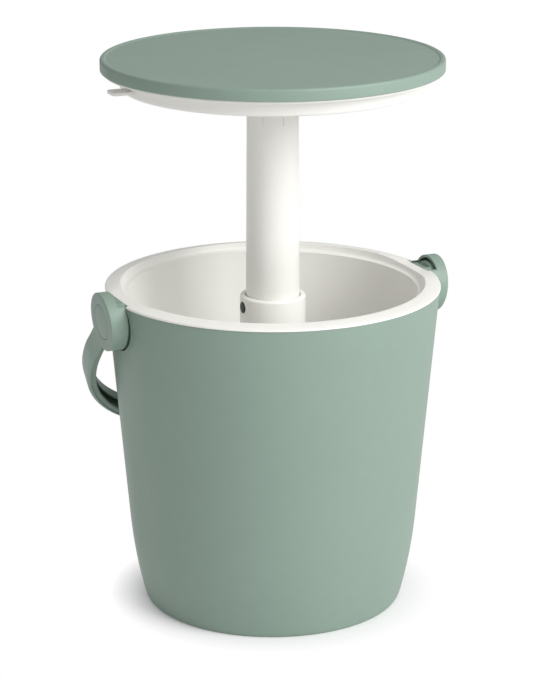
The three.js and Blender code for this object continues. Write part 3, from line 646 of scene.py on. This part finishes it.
def made_pan():
    """The pan under the top, with the socket for the column and two finger tabs."""
    outline = Outline()
    outline.to(0, SOCKET_LID_FOOT).to(SOCKET_INNER, SOCKET_LID_FOOT)
    outline.to(SOCKET_INNER, SOCKET_FOOT, SMALL_ROUND).to(SOCKET_OUTER, SOCKET_FOOT, EDGE_ROUND)
    outline.to(SOCKET_OUTER, PAN_WEB_FOOT, SOCKET_ROOT_ROUND)
    outline.to(PAN_WEB_RADIUS, PAN_WEB_FOOT, PAN_RING_ROUND)
    outline.to(PAN_RING_RADIUS, PAN_CHAMFER_FOOT, PAN_RING_ROUND)
    outline.to(PAN_CHAMFER_RADIUS, PAN_CHAMFER_FOOT)
    outline.bend(PAN_SKIRT_FOOT_RADIUS, PAN_CHAMFER_FOOT, PAN_SKIRT_FOOT_RADIUS, PAN_SKIRT_FOOT)
    outline.to(PAN_SKIRT_TOP_RADIUS, PAN_FLANGE_FOOT, SOFT_ROUND)
    outline.to(PAN_FLANGE_RADIUS, PAN_FLANGE_FOOT, EDGE_ROUND)
    outline.to(PAN_FLANGE_RADIUS, PAN_FLANGE_TOP)
    outline.to(PAN_SKIRT_TOP_RADIUS - PAN_SKIRT_WALL, PAN_FLANGE_TOP)
    outline.to(PAN_SKIRT_FOOT_RADIUS - PAN_SKIRT_WALL, PAN_SKIRT_FOOT)
    outline.to(PAN_CHAMFER_RADIUS, PAN_CHAMFER_FOOT + PAN_WALL)
    outline.to(PAN_RING_RADIUS + PAN_WALL, PAN_CHAMFER_FOOT + PAN_WALL)
    outline.to(PAN_WEB_RADIUS, PAN_WEB_FOOT + PAN_WALL)
    outline.to(SOCKET_OUTER, PAN_WEB_FOOT + PAN_WALL)
    outline.to(SOCKET_OUTER, SOCKET_LID_TOP).to(0, SOCKET_LID_TOP)
    pan = revolved("table_pan", outline)
    for side in (1, -1):
        combined(pan, [made_tab(side)], "UNION")
    return pan


def made_tab(side):
    """A finger tab with rounded corners and a shallow dish on its underside."""
    tab = slab("tab", side, TAB_INNER, TAB_TIP, TAB_HALF_WIDTH, TAB_ROUND, TAB_FOOT, TAB_TOP)
    dish = slab(
        "dish", side, TAB_DISH_INNER, TAB_TIP - TAB_DISH_MARGIN,
        TAB_HALF_WIDTH - TAB_DISH_MARGIN, TAB_ROUND - TAB_DISH_MARGIN,
        TAB_FOOT - SLIGHT_OVERCUT, TAB_FOOT + TAB_DISH_DEPTH,
    )
    return combined(tab, [dish], "DIFFERENCE")


def slab(name, side, start, end, half_width, rounding, low, high):
    """An upright prism on an outline along X whose far corners are rounded."""
    outline = Outline()
    outline.to(side * start, -half_width).to(side * end, -half_width, rounding)
    outline.to(side * end, half_width, rounding).to(side * start, half_width)
    return prism(name, "Z", outline, low, high)


def made_top():
    """The table top: a shallow dish inside a rounded lip, hollow below."""
    outline = Outline()
    outline.to(0, TOP_PLATE_FOOT).to(TOP_WALL_INNER, TOP_PLATE_FOOT, SOFT_ROUND)
    outline.to(TOP_WALL_INNER, TOP_FOOT)
    outline.to(TOP_RADIUS, TOP_FOOT, BROAD_ROUND).to(TOP_RADIUS, TOP_LIP_FOOT)
    outline.bend(TOP_RADIUS, TOP_HEIGHT, TOP_LIP_MIDDLE, TOP_HEIGHT)
    outline.bend(TOP_LIP_BEND, TOP_HEIGHT, TOP_LIP_INNER, TOP_DISH)
    outline.to(0, TOP_DISH)
    return revolved("table_disc", outline)


def bail_line():
    """Points of the strap's outer face, from the left pivot round to the right.

    Each has its place across and its drop below the pivot line.
    """
    arm = BAIL_ARM_END - BAIL_ARM_START
    half = []
    for step in range(ARM_STEPS):
        half.append(Vector((BAIL_REACH, BAIL_ARM_START + arm * step / ARM_STEPS)))
    for step in range(BOW_STEPS + 1):
        angle = math.pi / 2 * step / BOW_STEPS
        x = BAIL_REACH * math.cos(angle) ** (2 / BAIL_SQUARENESS)
        drop = (BAIL_CROSSBAR - BAIL_ARM_END) * math.sin(angle) ** (2 / BAIL_SQUARENESS)
        half.append(Vector((max(x, 0), BAIL_ARM_END + drop)))
    mirrored = [Vector((-point.x, point.y)) for point in half[:-1]]
    return mirrored + half[::-1]


def strap_section():
    """The strap's channel: across the strap, and in from its outer face.

    Its lower side is set in by a small step, and its upper side has a return lip.
    """
    half = STRAP_WIDTH / 2
    near = half - STRAP_STEP
    lip = half - STRAP_LIP
    lip_foot = STRAP_DEPTH - STRAP_FLANGE
    outline = Outline()
    outline.to(-half, 0, STRAP_ROUND).to(half, 0, STRAP_ROUND).to(half, STRAP_DEPTH, SOFT_ROUND)
    outline.to(lip, STRAP_DEPTH, SOFT_ROUND).to(lip, lip_foot, LIP_ROUND)
    outline.to(half - STRAP_FLANGE, lip_foot, SOFT_ROUND)
    outline.to(half - STRAP_FLANGE, STRAP_WEB, SOFT_ROUND)
    outline.to(-near + STRAP_FLANGE, STRAP_WEB, SOFT_ROUND)
    outline.to(-near + STRAP_FLANGE, STRAP_DEPTH, LIP_ROUND).to(-near, STRAP_DEPTH, LIP_ROUND)
    outline.to(-near, STRAP_STEP_DEPTH).to(-half, STRAP_STEP_DEPTH, STRAP_STEP_ROUND)
    return outline.points()


def made_strap(place):
    """The section of the strap drawn out along its line, and closed at both ends."""
    line = bail_line()
    section = strap_section()
    builder = bmesh.new()
    rings = []
    for index, point in enumerate(line):
        before = line[max(index - 1, 0)]
        after = line[min(index + 1, len(line) - 1)]
        along = (after - before).normalized()
        inward = Vector((along.y, -along.x))
        if inward.dot(Vector((0, BAIL_ARM_START)) - point) < 0:
            inward = -inward
        ring = []
        for across, depth in section:
            flat = point + inward * depth
            ring.append(builder.verts.new(Vector((flat.x, across, -flat.y)) * METRE))
        rings.append(ring)
    for ring, following in zip(rings, rings[1:]):
        joined_rings(builder, ring, following)
    builder.faces.new(rings[0])
    builder.faces.new(rings[-1])
    bmesh.ops.transform(builder, matrix=place, verts=builder.verts)
    return finished("handle_bow", builder)


def made_cup(side):
    """A round cup with the seat of its cap outside and the screw's well inside."""
    inner_radius = CUP_RADIUS - CUP_WALL
    outline = Outline()
    outline.to(WELL_HOLE_RADIUS, WELL_BOSS_END).to(WELL_BOSS_RADIUS, WELL_BOSS_END)
    outline.to(WELL_BOSS_RADIUS, CUP_FACE_INNER, SOFT_ROUND)
    outline.to(inner_radius, CUP_FACE_INNER, CUP_CORNER_ROUND)
    outline.to(inner_radius, CUP_MOUTH, SMALL_ROUND).to(CUP_RADIUS, CUP_MOUTH, SMALL_ROUND)
    outline.to(CUP_RADIUS, BAIL_REACH, CUP_EDGE_ROUND)
    outline.to(CAP_SEAT_RADIUS, BAIL_REACH, FINE_ROUND).to(CAP_SEAT_RADIUS, CAP_SEAT)
    outline.to(WELL_RADIUS, CAP_SEAT, FINE_ROUND).to(WELL_RADIUS, WELL_FLOOR)
    outline.to(WELL_HOLE_RADIUS, WELL_FLOOR)
    return leaned(revolved("cup", outline, COLUMN_SIDES, on_pivot(side)))


def made_bail():
    """The strap with its cups, each slotted at the top for the closed table's tab."""
    hang = Matrix.Rotation(BAIL_HANG, 4, "X")
    bail = leaned(made_strap(Matrix.Translation((0, 0, PIVOT_HEIGHT * METRE)) @ hang))
    slot_top = PIVOT_HEIGHT + 2 * CUP_RADIUS
    for side in (1, -1):
        room = disc("room", CUP_RADIUS - CUP_WALL / 2, CUP_MOUTH - CUP_ROOM_DEPTH,
                    CUP_FACE_INNER + CUP_ROOM_OVERCUT, side, COLUMN_SIDES)
        combined(bail, [leaned(room)], "DIFFERENCE")
        combined(bail, [made_cup(side)], "UNION")
        start = side * (CUP_MOUTH - OVERCUT)
        end = side * CUP_SLOT_END
        opening = Outline().to(start, CUP_SLOT_FLOOR).to(end, CUP_SLOT_FLOOR, CUP_SLOT_FILLET)
        opening.to(end, slot_top).to(start, slot_top)
        slot = prism("slot", "Y", opening, -2 * CUP_RADIUS, 2 * CUP_RADIUS)
        combined(bail, [slot], "DIFFERENCE")
    return bail


def made_cap(side, side_name):
    outline = Outline()
    outline.to(0, CAP_INNER).to(CAP_RADIUS, CAP_INNER).to(CAP_RADIUS, BAIL_REACH, LIP_ROUND)
    outline.to(0, BAIL_REACH)
    return leaned(revolved("handle_cap_" + side_name, outline, COLUMN_SIDES, on_pivot(side)))


class Material:
    """A node material on the Principled shader, written one node at a time."""

    def __init__(self, name):
        self.data = bpy.data.materials.new(name)
        self.data.use_nodes = True
        self.tree = self.data.node_tree
        self.shader = self.tree.nodes["Principled BSDF"]
        self.place = self.tree.nodes.new("ShaderNodeTexCoord").outputs["Object"]

    def set(self, **values):
        for name, value in values.items():
            self.shader.inputs[name.replace("_", " ")].default_value = value

    def link(self, start, end):
        self.tree.links.new(start, end)

    def noise(self, size, detail, stretch=None):
        """Noise whose features are about size millimetres across."""
        source = self.place
        if stretch:
            mapping = self.tree.nodes.new("ShaderNodeMapping")
            mapping.inputs["Scale"].default_value = stretch
            self.link(source, mapping.inputs["Vector"])
            source = mapping.outputs["Vector"]
        node = self.tree.nodes.new("ShaderNodeTexNoise")
        node.inputs["Scale"].default_value = 1 / (size * METRE)
        node.inputs["Detail"].default_value = detail
        self.link(source, node.inputs["Vector"])
        return node.outputs["Fac"]

    def spread(self, source, low, high, start=NOISE_LOW, end=NOISE_HIGH):
        node = self.tree.nodes.new("ShaderNodeMapRange")
        node.inputs["From Min"].default_value = start
        node.inputs["From Max"].default_value = end
        node.inputs["To Min"].default_value = low
        node.inputs["To Max"].default_value = high
        self.link(source, node.inputs["Value"])
        return node.outputs["Result"]

    def mixed(self, amount, first, second):
        """Mixes two colours, each a tuple or the output of a node."""
        node = self.tree.nodes.new("ShaderNodeMix")
        node.data_type = "RGBA"
        self.link(amount, node.inputs["Factor"])
        for socket, value in ((node.inputs["A"], first), (node.inputs["B"], second)):
            if isinstance(value, tuple):
                socket.default_value = value
            else:
                self.link(value, socket)
        return node.outputs["Result"]

    def calculated(self, operation, first, second):
        node = self.tree.nodes.new("ShaderNodeMath")
        node.operation = operation
        self.link(first, node.inputs[0])
        self.link(second, node.inputs[1])
        return node.outputs["Value"]

    def bump(self, height, depth, normal=None):
        """Bump whose full height is depth millimetres."""
        node = self.tree.nodes.new("ShaderNodeBump")
        node.inputs["Strength"].default_value = 1
        node.inputs["Distance"].default_value = depth * METRE
        self.link(height, node.inputs["Height"])
        if normal:
            self.link(normal, node.inputs["Normal"])
        return node.outputs["Normal"]


def linear(code, gain=1.0):
    """The colour of an sRGB code such as 0x869a8e, brightened by the gain."""
    found = []
    for shift in (16, 8, 0):
        value = (code >> shift & 255) / 255
        value = value / 12.92 if value <= 0.04045 else ((value + 0.055) / 1.055) ** 2.4
        found.append(min(value * gain, 1))
    return (*found, 1)


def moulded_plastic(name, code, contrast, roughness, grain_size, grain_depth):
    """Injection-moulded plastic with a fine eroded grain and slow drifts of shade and gloss."""
    material = Material(name)
    dark, pale = linear(code, 1 - contrast), linear(code, 1 + contrast)
    drift = material.noise(DRIFT_SIZE, PLAIN_DETAIL)
    mottle = material.noise(MOTTLE_SIZE, RICH_DETAIL)
    grain = material.noise(grain_size, PLAIN_DETAIL)
    flow = material.noise(FLOW_SIZE, RICH_DETAIL, FLOW_STRETCH)
    slow = material.mixed(material.spread(drift, 0, 1), dark, pale)
    fast = material.mixed(material.spread(mottle, 0, 1), dark, pale)
    blend = material.mixed(material.spread(grain, *MOTTLE_SHARE), slow, fast)
    gloss = material.spread(flow, roughness - GLOSS_DRIFT, roughness + GLOSS_DRIFT)
    waves = material.bump(drift, WAVE_DEPTH, material.bump(grain, grain_depth))
    material.link(blend, material.shader.inputs["Base Color"])
    material.link(gloss, material.shader.inputs["Roughness"])
    material.link(waves, material.shader.inputs["Normal"])
    material.set(IOR=PLASTIC_IOR)
    return material.data


def brushed_steel(name):
    material = Material(name)
    scratches = material.noise(SCRATCH_SIZE, PLAIN_DETAIL, SCRATCH_STRETCH)
    patches = material.noise(STEEL_PATCH_SIZE, PLAIN_DETAIL)
    colour = material.mixed(
        material.spread(patches, 0, 1), linear(STEEL_DARK), linear(STEEL_PALE))
    gloss = material.spread(scratches, *SCRATCH_ROUGHNESS)
    material.link(colour, material.shader.inputs["Base Color"])
    material.link(gloss, material.shader.inputs["Roughness"])
    material.link(material.bump(scratches, SCRATCH_DEPTH), material.shader.inputs["Normal"])
    material.set(Metallic=1.0)
    return material.data


# Colour code, contrast, roughness, and the size and depth of the grain
SLOTS = {
    "sage_plastic": moulded_plastic("sage plastic", 0x869a8e, 0.03, 0.5, 0.7, 0.05),
    "white_plastic": moulded_plastic("off white plastic", 0xf0efea, 0.012, 0.36, 0.9, 0.012),
    "dark_plastic": moulded_plastic("dark plastic", 0x2c2f33, 0.06, 0.42, 0.5, 0.02),
    "steel": brushed_steel("steel"),
}


def dress(piece, body, slot, *nodes):
    """Finishes a piece: its smooth faces, its material, its body and the nodes it stands for."""
    for polygon in piece.data.polygons:
        polygon.use_smooth = True
    piece.data.set_sharp_from_angle(angle=SHARP_ANGLE)
    piece.data.materials.clear()
    piece.data.materials.append(SLOTS[slot])
    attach(piece, body)
    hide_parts(*nodes)


dress(made_outer_shell(), "bucket", "sage_plastic", "outer_shell")
for side, side_name in ((1, "right"), (-1, "left")):
    dress(made_hub(side, side_name), "bucket", "sage_plastic", "outer_shell")
    dress(made_cap(side, side_name), "handle", "sage_plastic", "pivot_cap_" + side_name)
dress(made_liner(), "bucket", "white_plastic", "inner_liner")
dress(made_sleeve(), "bucket", "white_plastic", "column_sleeve")
dress(made_collar(), "bucket", "white_plastic", "lock_collar")
dress(made_button(), "button", "dark_plastic", "release_button")
dress(made_column(), "table", "white_plastic", "slide_tube")
dress(made_pan(), "table", "white_plastic", "underside_pan")
dress(made_top(), "table", "sage_plastic", "table_top")
dress(made_bail(), "handle", "sage_plastic", "handle_bail")

# The hidden pieces keep the shapes of the solids and take the materials made here.
for name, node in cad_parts.items():
    is_steel = "screw" in name or "washer" in name
    if is_steel or name == "guide_bush":
        for slot in node.material_slots:
            slot.link = "OBJECT"
            slot.material = SLOTS["steel" if is_steel else "white_plastic"]


def made_floor():
    """A pale floor that keeps the shadow and fades to white away from the object."""
    builder = bmesh.new()
    bmesh.ops.create_grid(
        builder, x_segments=FLOOR_SEGMENTS, y_segments=FLOOR_SEGMENTS, size=FLOOR_HALF_SIZE)
    floor = finished("floor", builder)
    material = Material("floor")
    tree = material.tree
    grain = material.noise(FLOOR_GRAIN_SIZE, PLAIN_DETAIL)
    colour = material.mixed(material.spread(grain, 0, 1), FLOOR_DARK, FLOOR_PALE)
    material.link(colour, material.shader.inputs["Base Color"])
    material.set(Roughness=FLOOR_ROUGHNESS)
    distance = tree.nodes.new("ShaderNodeVectorMath")
    distance.operation = "LENGTH"
    material.link(material.place, distance.inputs[0])
    fade = material.spread(distance.outputs["Value"], FADE_LOW, 1, FADE_START, FADE_END)
    rays = tree.nodes.new("ShaderNodeLightPath").outputs
    seen = rays["Is Camera Ray"]
    for ray in ("Is Glossy Ray", "Is Transmission Ray"):
        seen = material.calculated("MAXIMUM", seen, rays[ray])
    glow = tree.nodes.new("ShaderNodeEmission")
    mix = tree.nodes.new("ShaderNodeMixShader")
    material.link(material.calculated("MULTIPLY", seen, fade), mix.inputs["Fac"])
    material.link(material.shader.outputs["BSDF"], mix.inputs[1])
    material.link(glow.outputs["Emission"], mix.inputs[2])
    material.link(mix.outputs["Shader"], tree.nodes["Material Output"].inputs["Surface"])
    floor.data.materials.append(material.data)


def made_world():
    """An even world light that the camera sees as plain white."""
    world = bpy.data.worlds.new("studio")
    bpy.context.scene.world = world
    world.use_nodes = True
    tree = world.node_tree
    soft = tree.nodes["Background"]
    soft.inputs["Color"].default_value = WHITE
    soft.inputs["Strength"].default_value = AMBIENT
    plain = tree.nodes.new("ShaderNodeBackground")
    plain.inputs["Color"].default_value = WHITE
    path = tree.nodes.new("ShaderNodeLightPath")
    mix = tree.nodes.new("ShaderNodeMixShader")
    tree.links.new(path.outputs["Is Camera Ray"], mix.inputs["Fac"])
    tree.links.new(soft.outputs["Background"], mix.inputs[1])
    tree.links.new(plain.outputs["Background"], mix.inputs[2])
    tree.links.new(mix.outputs["Shader"], tree.nodes["World Output"].inputs["Surface"])


def turned_along(direction):
    """The turn that points a lamp or camera along a direction."""
    return direction.to_track_quat("-Z", "Y").to_euler()


def add_key_lamp():
    lamp = bpy.data.lights.new("key", "AREA")
    lamp.energy = KEY_POWER
    lamp.size = KEY_SIZE
    holder = new_object("key", lamp)
    holder.location = KEY_PLACE
    holder.rotation_euler = turned_along(Vector(KEY_AIM) - Vector(KEY_PLACE))


def add_camera():
    lens = bpy.data.cameras.new("camera")
    lens.sensor_fit = "VERTICAL"
    lens.sensor_height = CAMERA_SENSOR
    lens.sensor_width = CAMERA_SENSOR
    lens.lens = CAMERA_LENS
    x, y = CAMERA_HEADING
    level = math.cos(CAMERA_PITCH)
    camera = new_object("camera", lens)
    camera.location = CAMERA_PLACE
    camera.rotation_euler = turned_along(Vector((x * level, y * level, -math.sin(CAMERA_PITCH))))
    bpy.context.scene.camera = camera


made_floor()
made_world()
add_key_lamp()
add_camera()
bpy.context.scene.view_settings.view_transform = "Standard"
